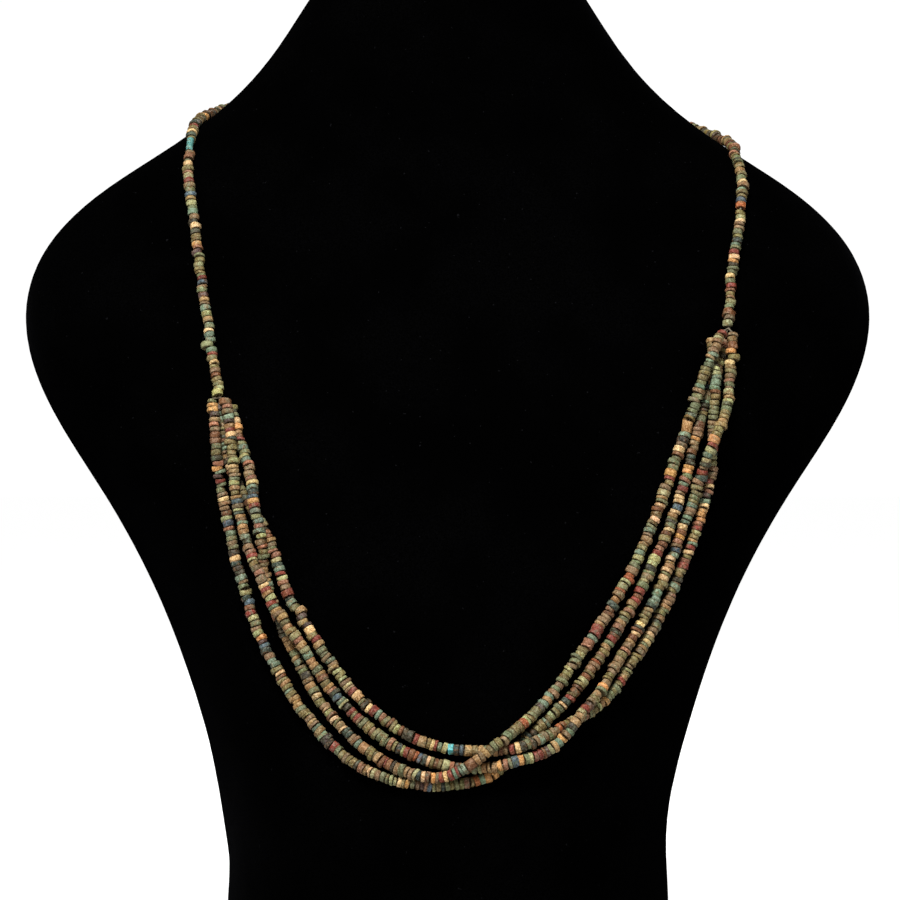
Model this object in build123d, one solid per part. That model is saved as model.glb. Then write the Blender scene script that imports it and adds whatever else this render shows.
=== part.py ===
from build123d import *
import math
import os
from collections import namedtuple

# Mummy bead necklace on a plain neck bust, in millimetres.
# The origin is the middle of the bust's foot, +Z is up and the chest faces -Y.

os.makedirs("parts", exist_ok=True)

# Neck bust
bust_height = 270.0
shoulder_width = 219.0
chest_reach = 79.0
back_reach = 42.5
section_fullness = 2.4
section_points = 20
neck_edge_round = 6.0
foot_edge_round = 2.0

# Disc beads of the single string round the neck
bead_diameter = 2.8
bead_length = 1.25
bead_rim = 0.25
bead_hole = 1.0
bead_gap = 0.25

# Turquoise tube bead, and how far along the thread it sits from the left gathering knot
tube_bead_diameter = 1.9
tube_bead_length = 4.8
tube_bead_hole = 1.2
tube_bead_place = 72.0

# Gathering beads, where the single string divides into four strands
gathering_bead_diameter = 3.0
gathering_bead_length = 1.6

# Thread, its knots and the tails from each knot to the strands
thread_diameter = 0.5
tail_diameter = 0.3
knot_diameter = 0.9
tail_clearance = 0.4

# Front strands of disc beads, each as one tube
strand_diameter = 2.7

# How strings lie on the bust
skin_clearance = 0.3
arc_share = 0.45

# Horizontal sections of the bust. height is a share of bust_height, width of shoulder_width,
# front of chest_reach and back of back_reach.
Section = namedtuple("Section", "height width front back")
bust_sections = [
    Section(height=0.000, width=0.504, front=0.99, back=0.66),
    Section(height=0.115, width=0.518, front=1.00, back=0.69),
    Section(height=0.222, width=0.567, front=1.00, back=0.76),
    Section(height=0.333, width=0.661, front=0.96, back=0.85),
    Section(height=0.444, width=0.803, front=0.865, back=0.93),
    Section(height=0.544, width=0.953, front=0.72, back=0.99),
    Section(height=0.626, width=1.000, front=0.59, back=1.00),
    Section(height=0.685, width=0.952, front=0.505, back=0.99),
    Section(height=0.737, width=0.827, front=0.44, back=0.95),
    Section(height=0.781, width=0.663, front=0.40, back=0.91),
    Section(height=0.822, width=0.527, front=0.38, back=0.87),
    Section(height=0.867, width=0.423, front=0.37, back=0.82),
    Section(height=0.920, width=0.335, front=0.37, back=0.77),
    Section(height=1.000, width=0.283, front=0.38, back=0.71),
]

# Routes of the strings. In front a point is given as it is seen from the front: across, a
# percentage of half the shoulder width, and up, a percentage of the bust's height. Round the
# back it is given by its bearing in degrees, 0 to the front and 90 to +X. lift is how far,
# in millimetres, the string lies above its lowest place on the bust, where it crosses others.
FrontPoint = namedtuple("FrontPoint", "across up lift")
BackPoint = namedtuple("BackPoint", "bearing up lift")

neck_left_route = [
    (-51.7, 53.9, 0.2), (-53.1, 56.7, 0.0), (-54.3, 59.1, 0.0), (-55.6, 62.5, 0.0), (-57.0, 66.1, 0.0),
    (-58.5, 70.1, 0.0), (-59.9, 73.5, 0.0), (-60.4, 76.2, 0.0), (-60.2, 78.4, 0.3),
]
neck_back_route = [
    (-82, 79.8, 0.3), (-92, 80.9, 0.2), (-103, 81.9, 0.2), (-114, 82.8, 0.2), (-125, 83.5, 0.2),
    (-136, 84.2, 0.2), (-149, 84.8, 0.2), (-164, 85.3, 0.2), (-180, 85.5, 0.2), (-196, 85.2, 0.2),
    (-211, 84.5, 0.2), (-224, 83.6, 0.2), (-235, 82.5, 0.2), (-246, 81.3, 0.2), (-257, 80.1, 0.2),
    (-266, 79.0, 0.2), (-273, 78.0, 0.2), (-281, 77.0, 0.5),
]
neck_right_route = [
    (68.6, 75.2, 0.2), (68.4, 73.2, 0.0), (67.8, 71.8, 0.0), (66.8, 69.0, 0.0), (65.6, 66.2, 0.0),
    (64.7, 63.2, 0.0), (64.2, 60.4, 0.2),
]
strand_1_route = [
    (-53.4, 53.7, 2.6), (-53.0, 52.3, 3.0), (-52.5, 50.0, 2.9), (-52.0, 48.0, 2.2), (-51.0, 45.6, 0.6),
    (-49.4, 42.3, 0.0), (-47.2, 38.5, 0.0), (-44.5, 34.9, 0.0), (-41.0, 31.1, 0.0), (-35.8, 27.4, 0.0),
    (-29.0, 23.6, 0.0), (-21.8, 21.0, 0.0), (-14.2, 19.6, 0.0), (-7.1, 19.0, 0.0), (-0.9, 18.9, 0.0),
    (4.9, 19.2, 0.0), (9.1, 19.7, 0.0), (12.2, 20.5, 0.0), (14.6, 21.8, 0.0), (17.4, 23.2, 0.0),
    (22.7, 25.0, 0.0), (28.7, 27.4, 0.0), (34.6, 30.7, 0.0), (41.3, 34.8, 0.0), (46.8, 39.2, 0.0),
    (51.2, 43.2, 0.0), (54.5, 47.4, 0.0), (56.7, 51.1, 0.0), (58.5, 53.7, 0.0), (61.0, 55.9, 0.0),
    (62.4, 57.7, 0.0), (63.1, 59.3, 0.0),
]
strand_2_route = [
    (-50.3, 53.7, 2.8), (-49.7, 52.2, 2.9), (-48.8, 50.0, 2.8), (-48.2, 47.6, 2.9), (-47.8, 45.6, 2.9),
    (-47.2, 43.8, 2.6), (-46.1, 42.0, 2.6), (-45.0, 40.3, 3.5), (-43.4, 38.8, 4.0), (-41.7, 37.4, 3.7),
    (-40.1, 36.1, 3.2), (-38.5, 34.8, 3.0), (-36.6, 33.7, 2.9), (-34.8, 32.7, 2.9), (-33.1, 31.8, 2.4),
    (-31.4, 30.8, 1.5), (-29.4, 29.3, 0.5), (-26.3, 27.6, 0.0), (-20.2, 25.0, 0.0), (-13.3, 22.7, 0.0),
    (-6.2, 21.4, 0.0), (0.4, 20.6, 0.0), (5.5, 20.5, 0.8), (9.3, 20.6, 2.0), (12.6, 20.9, 2.9),
    (16.1, 21.3, 2.8), (20.4, 21.7, 2.0), (23.8, 22.4, 2.4), (26.7, 23.7, 3.1), (30.0, 25.5, 2.7),
    (33.9, 27.2, 1.2), (38.7, 30.2, 0.0), (45.0, 34.3, 0.0), (50.1, 38.6, 0.0), (54.2, 43.0, 0.0),
    (57.0, 46.3, 1.0), (58.8, 48.6, 2.7), (60.7, 50.3, 4.1), (62.9, 52.2, 3.6), (63.9, 54.5, 1.6),
    (64.4, 56.5, 1.6), (64.7, 58.2, 2.5), (64.8, 59.9, 2.6),
]
strand_3_route = [
    (-51.9, 53.1, 0.0), (-51.3, 51.5, 0.0), (-50.5, 49.5, 0.0), (-49.1, 47.6, 0.0), (-47.3, 46.0, 0.0),
    (-45.2, 44.5, 0.0), (-42.8, 43.0, 0.0), (-40.8, 41.4, 0.0), (-39.4, 40.1, 0.0), (-38.2, 38.8, 0.0),
    (-37.3, 37.5, 0.0), (-36.2, 36.2, 0.0), (-34.6, 35.0, 0.0), (-32.5, 33.6, 0.0), (-30.3, 32.3, 0.0),
    (-27.7, 30.7, 0.0), (-22.3, 27.7, 0.0), (-16.0, 25.4, 0.0), (-8.4, 23.3, 0.0), (-0.4, 22.2, 0.0),
    (4.9, 22.1, 0.5), (8.9, 22.1, 1.1), (12.2, 22.15, 2.0), (15.3, 22.35, 2.9), (18.6, 22.8, 2.8),
    (22.4, 23.4, 1.3), (26.3, 24.3, 0.0), (31.7, 25.4, 0.0), (36.9, 27.1, 0.0), (41.5, 29.9, 0.0),
    (47.1, 33.2, 0.0), (51.7, 37.1, 0.0), (55.4, 40.9, 0.0), (58.5, 44.8, 0.0), (60.0, 48.0, 0.0),
    (59.9, 50.2, 0.6), (60.1, 52.5, 1.9), (60.7, 54.5, 2.8), (61.0, 56.2, 2.9), (60.4, 57.8, 1.8),
    (60.3, 59.3, 1.0),
]
strand_4_route = [
    (-49.0, 53.2, 0.0), (-48.0, 51.5, 0.0), (-46.7, 49.5, 0.3), (-45.0, 47.6, 1.3), (-43.9, 45.6, 2.4),
    (-43.3, 43.9, 2.9), (-42.6, 42.5, 2.9), (-42.0, 41.1, 2.9), (-41.5, 39.9, 2.3), (-41.3, 38.8, 1.2),
    (-41.0, 37.7, 0.5), (-40.2, 36.4, 0.1), (-39.1, 35.1, 0.0), (-37.8, 33.8, 0.0), (-36.4, 32.4, 0.0),
    (-35.1, 31.2, 0.0), (-33.0, 29.8, 0.0), (-29.0, 26.5, 0.0), (-23.3, 23.9, 0.0), (-17.1, 21.7, 0.0),
    (-10.9, 20.4, 0.5), (-5.8, 19.8, 1.8), (-1.5, 19.7, 2.4), (1.8, 20.1, 3.0), (5.1, 21.0, 3.6),
    (7.9, 21.9, 4.2), (11.0, 22.8, 4.3), (14.4, 23.7, 2.9), (18.4, 25.1, 0.8), (23.8, 27.3, 0.0),
    (30.1, 30.9, 0.0), (36.2, 34.4, 0.0), (42.2, 38.8, 0.0), (46.8, 43.0, 0.0), (50.1, 46.7, 0.0),
    (53.7, 50.6, 0.2), (55.9, 53.3, 1.4), (57.7, 55.5, 3.2), (59.3, 57.3, 4.5), (60.9, 58.8, 4.5),
    (62.4, 60.0, 3.8),
]

# Disc beads differ a little from one to the next. The cycle gives each one's length and
# diameter as shares of bead_length and bead_diameter.
BeadSize = namedtuple("BeadSize", "length diameter")
bead_cycle = [
    BeadSize(length=1.00, diameter=1.00),
    BeadSize(length=0.80, diameter=0.96),
    BeadSize(length=1.15, diameter=1.02),
    BeadSize(length=0.90, diameter=0.98),
    BeadSize(length=1.25, diameter=1.03),
    BeadSize(length=0.95, diameter=0.94),
    BeadSize(length=1.05, diameter=1.00),
]


# Neck bust: a loft through smooth rounded sections, with softened edges at neck and foot
def bust_section(section):
    """Face of one section: a rounded oval that reaches further to the front than to the back."""
    half_width = section.width * shoulder_width / 2
    outline = []
    for step in range(section_points):
        turn = 2 * math.pi * step / section_points
        across = math.cos(turn)
        along = math.sin(turn)
        reach = section.back * back_reach if along > 0 else section.front * chest_reach
        x = half_width * math.copysign(abs(across) ** (2 / section_fullness), across)
        y = reach * math.copysign(abs(along) ** (2 / section_fullness), along)
        outline.append((x, y))
    return Plane.XY.offset(section.height * bust_height) * make_face(Spline(*outline, periodic=True))


bust_body = loft([bust_section(section) for section in bust_sections])
bust_skin = bust_body.faces().sort_by(SortBy.AREA)[-1]
neck_bust = fillet(bust_body.edges().group_by(Axis.Z)[-1], neck_edge_round)
neck_bust = fillet(neck_bust.edges().group_by(Axis.Z)[0], foot_edge_round)


# Where strings lie on the bust
def skin_hit(height, across, direction):
    """Point and outward direction of the bust's skin, met from the inside at one height."""
    line = Axis((across, 0, height), direction)
    point, normal = bust_skin.find_intersection_points(line)[-1]
    if normal.dot(Vector(*direction)) < 0:
        normal = -normal
    return point, normal


def front_centre(route_point, radius):
    """Centre of a string of this radius in front of the chest, where it is seen from the front."""
    seen = FrontPoint(*route_point)
    across = seen.across / 100 * shoulder_width / 2
    point, normal = skin_hit(seen.up / 100 * bust_height, across, (0, -1, 0))
    standing = radius + skin_clearance + seen.lift
    return point + Vector(0, standing / normal.Y, 0)


def back_centre(route_point, radius):
    """Centre of a string of this radius round the neck, squarely off the skin at a bearing."""
    hidden = BackPoint(*route_point)
    bearing = math.radians(hidden.bearing)
    direction = (math.sin(bearing), -math.cos(bearing), 0)
    point, normal = skin_hit(hidden.up / 100 * bust_height, 0, direction)
    return point + normal * (radius + skin_clearance + hidden.lift)


def string_path(name, points):
    """Straight runs joined by tangent arcs, each arc as large as its two runs allow."""
    radii = []
    for before, corner, after in zip(points, points[1:], points[2:]):
        run_in = corner - before
        run_out = after - corner
        half_turn = math.radians(run_in.get_angle(run_out) / 2)
        radii.append(arc_share * min(run_in.length, run_out.length) / math.tan(half_turn))
    path = FilletPolyline(*points, radius=radii)
    print(name, "length", round(path.length, 1), "radii", [round(radius, 1) for radius in radii])
    return path


def round_rod(path, diameter):
    """Solid of round section carried along a path."""
    start = Plane(origin=path @ 0, z_dir=path % 0)
    return sweep(start * Circle(diameter / 2), path=path)


# Thread path of the neck string, from the left gathering knot up, round the neck and down
neck_points = [front_centre(point, bead_diameter / 2) for point in neck_left_route]
neck_points += [back_centre(point, bead_diameter / 2) for point in neck_back_route]
neck_points += [front_centre(point, bead_diameter / 2) for point in neck_right_route]
neck_path = string_path("neck string", neck_points)


# Beads threaded on the neck string
def drilled_bead(diameter, length, rim, hole):
    """Round bead on +Z about the origin, with its edges eased by rim and a hole for the thread."""
    outer = diameter / 2
    bore = hole / 2
    half = length / 2
    profile = Polyline(
        (bore, -half),
        (outer - rim, -half),
        (outer, rim - half),
        (outer, half - rim),
        (outer - rim, half),
        (bore, half),
        close=True,
    )
    return revolve(Plane.XZ * make_face(profile), Axis.Z)


def threaded(bead, distance):
    """The bead moved to a distance along the thread and turned square to it."""
    centre = neck_path.position_at(distance, position_mode=PositionMode.LENGTH)
    along = neck_path.tangent_at(distance, position_mode=PositionMode.LENGTH)
    return Plane(origin=centre, z_dir=along).location * bead


cycle_beads = [
    drilled_bead(size.diameter * bead_diameter, size.length * bead_length, bead_rim, bead_hole)
    for size in bead_cycle
]


def fill_with_beads(start, end):
    """Disc beads in their cycle between two distances along the thread, evenly spread."""
    sizes = []
    used = bead_gap
    while True:
        size = len(sizes) % len(bead_cycle)
        length = bead_cycle[size].length * bead_length
        if used + length + bead_gap > end - start:
            break
        sizes.append(size)
        used += length + bead_gap
    gap = bead_gap + (end - start - used) / (len(sizes) + 1)
    beads = []
    reached = start + gap
    for size in sizes:
        length = bead_cycle[size].length * bead_length
        beads.append(threaded(cycle_beads[size], reached + length / 2))
        reached += length + gap
    return beads


first_bead_from_knot = knot_diameter / 2 + bead_gap
gathering_centre = first_bead_from_knot + gathering_bead_length / 2
string_start = first_bead_from_knot + gathering_bead_length
string_end = neck_path.length - string_start
string_middle = neck_path.length / 2
tube_bead_end = tube_bead_place + tube_bead_length

gathering_bead = drilled_bead(
    gathering_bead_diameter,
    gathering_bead_length,
    bead_rim,
    bead_hole,
)
gathering_bead_left = threaded(gathering_bead, gathering_centre)
gathering_bead_right = threaded(gathering_bead, neck_path.length - gathering_centre)
tube_bead = threaded(
    drilled_bead(tube_bead_diameter, tube_bead_length, bead_rim / 2, tube_bead_hole),
    tube_bead_place + tube_bead_length / 2,
)
left_beads = fill_with_beads(string_start, tube_bead_place)
left_beads += fill_with_beads(tube_bead_end, string_middle)
right_beads = fill_with_beads(string_middle, string_end)
neck_string_left = Compound(children=left_beads)
neck_string_right = Compound(children=right_beads)
print("disc beads on the neck string", len(left_beads) + len(right_beads))

# Front strands
strand_routes = {
    "strand_1": strand_1_route,
    "strand_2": strand_2_route,
    "strand_3": strand_3_route,
    "strand_4": strand_4_route,
}
strand_paths = {}
strands = {}
for name, route in strand_routes.items():
    centres = [front_centre(point, strand_diameter / 2) for point in route]
    strand_paths[name] = string_path(name, centres)
    strands[name] = round_rod(strand_paths[name], strand_diameter)
    section_area = math.pi * strand_diameter ** 2 / 4
    expected = section_area * strand_paths[name].length
    print(name, "volume over section times length", round(strands[name].volume / expected, 4))


# Thread through the neck string, a knot below each gathering bead and a tail to each strand
def thread_tail(knot, strand_end, outward):
    """Straight thin tail from a knot to just outside the middle of a strand's end."""
    return round_rod(Line(knot, strand_end + outward * tail_clearance), tail_diameter)


left_knot = neck_path @ 0
right_knot = neck_path @ 1
neck_thread = round_rod(neck_path, thread_diameter)
neck_thread += Pos(left_knot) * Sphere(knot_diameter / 2)
neck_thread += Pos(right_knot) * Sphere(knot_diameter / 2)
for path in strand_paths.values():
    neck_thread += thread_tail(left_knot, path @ 0, -(path % 0))
    neck_thread += thread_tail(right_knot, path @ 1, path % 1)

# One file for each sub-part
nodes = {
    "neck_bust": neck_bust,
    "neck_thread": neck_thread,
    "neck_string_left": neck_string_left,
    "neck_string_right": neck_string_right,
    "tube_bead": tube_bead,
    "gathering_bead_left": gathering_bead_left,
    "gathering_bead_right": gathering_bead_right,
}
nodes.update(strands)
for name, shape in nodes.items():
    export_step(shape, f"parts/{name}.step")
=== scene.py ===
import math
from collections import namedtuple

import bpy
import numpy as np
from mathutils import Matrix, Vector
from mathutils.bvhtree import BVHTree


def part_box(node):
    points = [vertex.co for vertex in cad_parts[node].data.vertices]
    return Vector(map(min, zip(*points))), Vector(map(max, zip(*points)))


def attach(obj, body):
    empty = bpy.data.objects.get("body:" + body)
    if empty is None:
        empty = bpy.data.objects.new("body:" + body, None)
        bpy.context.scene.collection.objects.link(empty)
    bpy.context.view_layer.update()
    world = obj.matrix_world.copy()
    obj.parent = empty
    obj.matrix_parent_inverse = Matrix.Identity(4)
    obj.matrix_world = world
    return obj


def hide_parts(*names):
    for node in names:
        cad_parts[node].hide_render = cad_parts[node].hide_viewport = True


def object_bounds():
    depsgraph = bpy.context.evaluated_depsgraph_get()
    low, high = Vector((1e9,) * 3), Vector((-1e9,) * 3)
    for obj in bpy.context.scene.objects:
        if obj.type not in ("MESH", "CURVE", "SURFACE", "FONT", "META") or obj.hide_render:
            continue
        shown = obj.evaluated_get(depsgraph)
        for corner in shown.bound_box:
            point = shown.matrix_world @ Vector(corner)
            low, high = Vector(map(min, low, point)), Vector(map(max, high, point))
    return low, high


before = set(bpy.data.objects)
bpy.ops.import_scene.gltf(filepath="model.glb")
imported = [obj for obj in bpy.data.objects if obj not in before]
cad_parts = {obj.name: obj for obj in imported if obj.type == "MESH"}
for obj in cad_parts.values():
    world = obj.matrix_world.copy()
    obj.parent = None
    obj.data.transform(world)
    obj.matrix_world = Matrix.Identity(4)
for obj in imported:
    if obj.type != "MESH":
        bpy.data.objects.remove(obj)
cad_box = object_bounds()
mm = 0.001


# Neck bust. A light shop form covered with black velvet that is glued down tight, so it has no
# folds. It shows only the short pile: patches where the pile leans another way, a faint
# sheen on the edges of the form, and a little lint.
def node(tree, kind, sockets=None, **settings):
    """A new shader node with its settings, and with a value or a link for each socket that is
    given by its name or number."""
    made = tree.nodes.new(kind)
    for name, value in settings.items():
        setattr(made, name, value)
    for name, value in (sockets or {}).items():
        if isinstance(value, bpy.types.NodeSocket):
            tree.links.new(value, made.inputs[name])
        else:
            made.inputs[name].default_value = value
    return made


def mixed(tree, share, first, second, how="MIX"):
    """The colour that lies this share of the way from the first to the second."""
    sockets = {0: share, 6: first, 7: second}
    return node(tree, "ShaderNodeMix", sockets, data_type="RGBA", blend_type=how).outputs[2]


def between(tree, value, low, high, new_low=0.0, new_high=1.0):
    """A value taken smoothly from the range low to high into a new range, and held there."""
    sockets = {"Value": value, "From Min": low, "From Max": high, "To Min": new_low, "To Max": new_high}
    return node(tree, "ShaderNodeMapRange", sockets, interpolation_type="SMOOTHSTEP").outputs["Result"]


def noise(tree, place, scale, detail):
    """Soft noise between 0 and 1 at a place, with about scale patches to a metre."""
    sockets = {"Vector": place, "Scale": scale, "Detail": detail}
    return node(tree, "ShaderNodeTexNoise", sockets).outputs["Fac"]


def new_material(name):
    """A material with its node tree and its own shader, ready to be linked to."""
    made = bpy.data.materials.new(name)
    made.use_nodes = True
    return made, made.node_tree, made.node_tree.nodes["Principled BSDF"]


velvet, tree, shader = new_material("black_velvet")
place = node(tree, "ShaderNodeTexCoord").outputs["Object"]
lean = noise(tree, place, scale=38.0, detail=3.0)
pile = noise(tree, place, scale=2400.0, detail=4.0)
lint = noise(tree, place, scale=950.0, detail=1.0)
pile_down = (0.0003, 0.0003, 0.0003, 1)
pile_up = (0.0010, 0.0010, 0.0011, 1)
lint_grey = (0.0045, 0.0045, 0.005, 1)
cloth = mixed(tree, between(tree, lean, 0.35, 0.68), pile_down, pile_up)
cloth = mixed(tree, between(tree, pile, 0.30, 0.75), pile_down, cloth)
cloth = mixed(tree, between(tree, lint, 0.76, 0.80), cloth, lint_grey)
nap = node(tree, "ShaderNodeBump", {"Height": pile, "Strength": 0.5, "Distance": 0.3 * mm})
tree.links.new(cloth, shader.inputs["Base Color"])
tree.links.new(between(tree, pile, 0.2, 0.8, new_low=0.82), shader.inputs["Roughness"])
tree.links.new(nap.outputs["Normal"], shader.inputs["Normal"])
shader.inputs["Specular IOR Level"].default_value = 0.0
shader.inputs["Sheen Weight"].default_value = 0.012
shader.inputs["Sheen Roughness"].default_value = 0.35
shader.inputs["Sheen Tint"].default_value = (0.25, 0.25, 0.28, 1)

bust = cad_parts["neck_bust"]
bust.data.materials.clear()
bust.data.materials.append(velvet)


# Thread. Fine twisted cotton, gone yellow and grey with handling. It shows as a dot or a short
# line between two beads, at the knots under the gathering beads, and in the tails that run
# from each knot to the four front strands.
thread_cotton, tree, shader = new_material("thread_cotton")
place = node(tree, "ShaderNodeTexCoord").outputs["Object"]
fibre = noise(tree, place, scale=5200.0, detail=5.0)
soil = noise(tree, place, scale=420.0, detail=3.0)
cotton_pale = (0.30, 0.26, 0.19, 1)
cotton_soiled = (0.10, 0.075, 0.045, 1)
cotton = mixed(tree, between(tree, soil, 0.40, 0.66), cotton_pale, cotton_soiled)
cotton = mixed(tree, between(tree, fibre, 0.35, 0.65, new_high=0.5), cotton, cotton_soiled)
twist = node(tree, "ShaderNodeBump", {"Height": fibre, "Strength": 0.6, "Distance": 0.08 * mm})
tree.links.new(cotton, shader.inputs["Base Color"])
tree.links.new(twist.outputs["Normal"], shader.inputs["Normal"])
shader.inputs["Roughness"].default_value = 0.9
shader.inputs["Specular IOR Level"].default_value = 0.2

neck_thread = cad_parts["neck_thread"]
neck_thread.data.materials.clear()
neck_thread.data.materials.append(thread_cotton)


# Single string round the neck. Small hand-cut discs of faience and stone, each a little wedge
# shaped and chipped, threaded face to face. It runs from the left gathering bead up, over
# the shoulder, round behind the neck and down to the right gathering bead.
# A point of a route in front of the chest is given by how far it is to the right, in hundredths
# of half the shoulders' width, how high, in hundredths of the bust's height, and how far off
# the skin it is lifted, in millimetres. Round the neck a bearing takes the first place, in
# degrees counted from the front towards the right.
FrontPoint = namedtuple("FrontPoint", "across up lift")
BackPoint = namedtuple("BackPoint", "bearing up lift")

neck_left_route = [
    (-51.7, 53.9, 0.2), (-53.1, 56.7, 0.0), (-54.3, 59.1, 0.0), (-55.6, 62.5, 0.0), (-57.0, 66.1, 0.0),
    (-58.5, 70.1, 0.0), (-59.9, 73.5, 0.0), (-60.4, 76.2, 0.0), (-60.2, 78.4, 0.3),
]
neck_back_route = [
    (-82, 79.8, 0.3), (-92, 80.9, 0.2), (-103, 81.9, 0.2), (-114, 82.8, 0.2), (-125, 83.5, 0.2),
    (-136, 84.2, 0.2), (-149, 84.8, 0.2), (-164, 85.3, 0.2), (-180, 85.5, 0.2), (-196, 85.2, 0.2),
    (-211, 84.5, 0.2), (-224, 83.6, 0.2), (-235, 82.5, 0.2), (-246, 81.3, 0.2), (-257, 80.1, 0.2),
    (-266, 79.0, 0.2), (-273, 78.0, 0.2), (-281, 77.0, 0.5),
]
neck_right_route = [
    (68.6, 75.2, 0.2), (68.4, 73.2, 0.0), (67.8, 71.8, 0.0), (66.8, 69.0, 0.0), (65.6, 66.2, 0.0),
    (64.7, 63.2, 0.0), (64.2, 60.4, 0.2),
]

bust_low, bust_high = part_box("neck_bust")
half_shoulders = (bust_high.x - bust_low.x) / 2
bust_height = bust_high.z - bust_low.z
bust_skin = BVHTree.FromObject(bust, bpy.context.evaluated_depsgraph_get())
above_skin = 0.3 * mm
neck_bead_radius = 1.4 * mm
disc_length = 1.10 * mm


def front_place(route_point, radius):
    """Centre of a string in front of the chest: straight forward of the skin by the string's own
    radius, a small clearance and its lift, measured squarely to the skin."""
    seen = FrontPoint(*route_point)
    inside = Vector((seen.across / 100 * half_shoulders, 0, seen.up / 100 * bust_height))
    skin, normal, _, _ = bust_skin.ray_cast(inside, Vector((0, -1, 0)))
    return skin - Vector((0, (radius + above_skin + seen.lift * mm) / abs(normal.y), 0))


def back_place(route_point, radius):
    """Centre of a string round the neck: squarely off the skin at a bearing and a height."""
    hidden = BackPoint(*route_point)
    bearing = math.radians(hidden.bearing)
    outward = Vector((math.sin(bearing), -math.cos(bearing), 0))
    inside = Vector((0, 0, hidden.up / 100 * bust_height))
    skin, normal, _, _ = bust_skin.ray_cast(inside, outward)
    normal = normal if normal.dot(outward) > 0 else -normal
    return skin + normal * (radius + above_skin + hidden.lift * mm)


Line = namedtuple("Line", "points reach")


def string_line(points):
    """The smooth line that a string takes: a NURBS spline of order 3 that has the route's points
    as its control points, with the length reached at each point of it."""
    curve = bpy.data.curves.new("string_line", "CURVE")
    curve.dimensions = "3D"
    spline = curve.splines.new("NURBS")
    spline.points.add(len(points) - 1)
    for control, point in zip(spline.points, points):
        control.co = (*point, 1)
    spline.order_u = 3
    spline.use_endpoint_u = True
    spline.resolution_u = 24
    holder = bpy.data.objects.new("string_line", curve)
    mesh = bpy.data.meshes.new_from_object(holder)
    flat = np.empty(len(mesh.vertices) * 3)
    mesh.vertices.foreach_get("co", flat)
    line = flat.reshape(-1, 3)
    bpy.data.objects.remove(holder)
    bpy.data.curves.remove(curve)
    bpy.data.meshes.remove(mesh)
    steps = np.linalg.norm(np.diff(line, axis=0), axis=1)
    return Line(line, np.concatenate([[0.0], np.cumsum(steps)]))


def unit(vectors):
    """Vectors of the same directions, each divided by its length."""
    return vectors / np.linalg.norm(vectors, axis=1, keepdims=True)


def places_on(line, lengths):
    """Places on a line at lengths reached along it."""
    return np.stack([np.interp(lengths, line.reach, line.points[:, axis]) for axis in range(3)], 1)


def on_line(line, reached):
    """Places on a line, and the directions it runs in there: each is the way from half a disc
    before the place to half a disc after it."""
    way = places_on(line, reached + disc_length / 2) - places_on(line, reached - disc_length / 2)
    return places_on(line, reached), unit(way)


def nearest_reach(line, point):
    """The length reached along a line at its place nearest to a point."""
    return line.reach[np.argmin(np.linalg.norm(line.points - np.array(point), axis=1))]


# The photo's frame: this pixel looks straight at the bust's middle plane, where a pixel is this
# long, from this far away. It is used to set a bead where the photo shows it.
photo_centre_across = 448.0
photo_centre_down = 450.0
photo_pixel = 0.26 * mm
photo_distance = 1.2
photo_height = 0.1326


def seen_in_photo(points):
    """Where points show in the photo, in pixels across and down from its top left corner."""
    nearer = 1 + points[:, 1] / photo_distance
    across = photo_centre_across + points[:, 0] / nearer / photo_pixel
    down = photo_centre_down - (points[:, 2] - photo_height) / nearer / photo_pixel
    return np.stack([across, down], 1)


# Tints of the discs, in the 0 to 255 numbers of a colour picker, with how often each comes.
Tint = namedtuple("Tint", "red green blue often")
tints = {
    "olive": Tint(124, 113, 68, 26),
    "moss": Tint(108, 115, 80, 18),
    "taupe": Tint(130, 105, 74, 18),
    "tan": Tint(160, 127, 82, 10),
    "brown": Tint(112, 70, 38, 10),
    "dark": Tint(52, 46, 28, 6),
    "cream": Tint(216, 184, 134, 1),
    "honey": Tint(208, 152, 88, 1),
    "orange": Tint(156, 84, 40, 1),
    "red": Tint(127, 50, 36, 1),
    "rose": Tint(148, 101, 75, 3),
    "mauve": Tint(80, 58, 52, 1.5),
    "leaf": Tint(160, 162, 114, 4),
    "sea": Tint(106, 128, 106, 7),
    "slate": Tint(68, 88, 102, 1),
    "pine": Tint(42, 58, 50, 3),
    "turquoise": Tint(86, 180, 190, 0),
}


def linear(tint):
    """The light a tint sends back, from its colour picker numbers."""
    shares = np.array(tint[:3]) / 255
    return np.where(shares <= 0.04045, shares / 12.92, ((shares + 0.055) / 1.055) ** 2.4)


# A disc that stands out in the photo: where it shows there, in pixels, its tint, its length in
# millimetres if it is unusual, its diameter as a share of the usual, and how far it stands
# out sideways, in millimetres to the right.
Accent = namedtuple("Accent", "across down tint long wide out", defaults=(None, 1.0, 0.0))

# How the discs vary: their length, their diameter as a share of the string's, and the gap to the
# next one in millimetres, then how often a tint repeats, the spread of shade and of hue, and
# the darkest and lightest that a tint may get.
length_spread = 0.24 * mm
length_least = 0.65 * mm
length_most = 1.75 * mm
wide_usual = 1.04
wide_spread = 0.10
wide_least = 0.82
wide_most = 1.20
gap_least = 0.02
gap_usual = 0.04
gap_most = 0.14
repeat_share = 0.16
shade_spread = 0.15
hue_spread = 0.04
darkest = 0.01
lightest = 0.9


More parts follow.
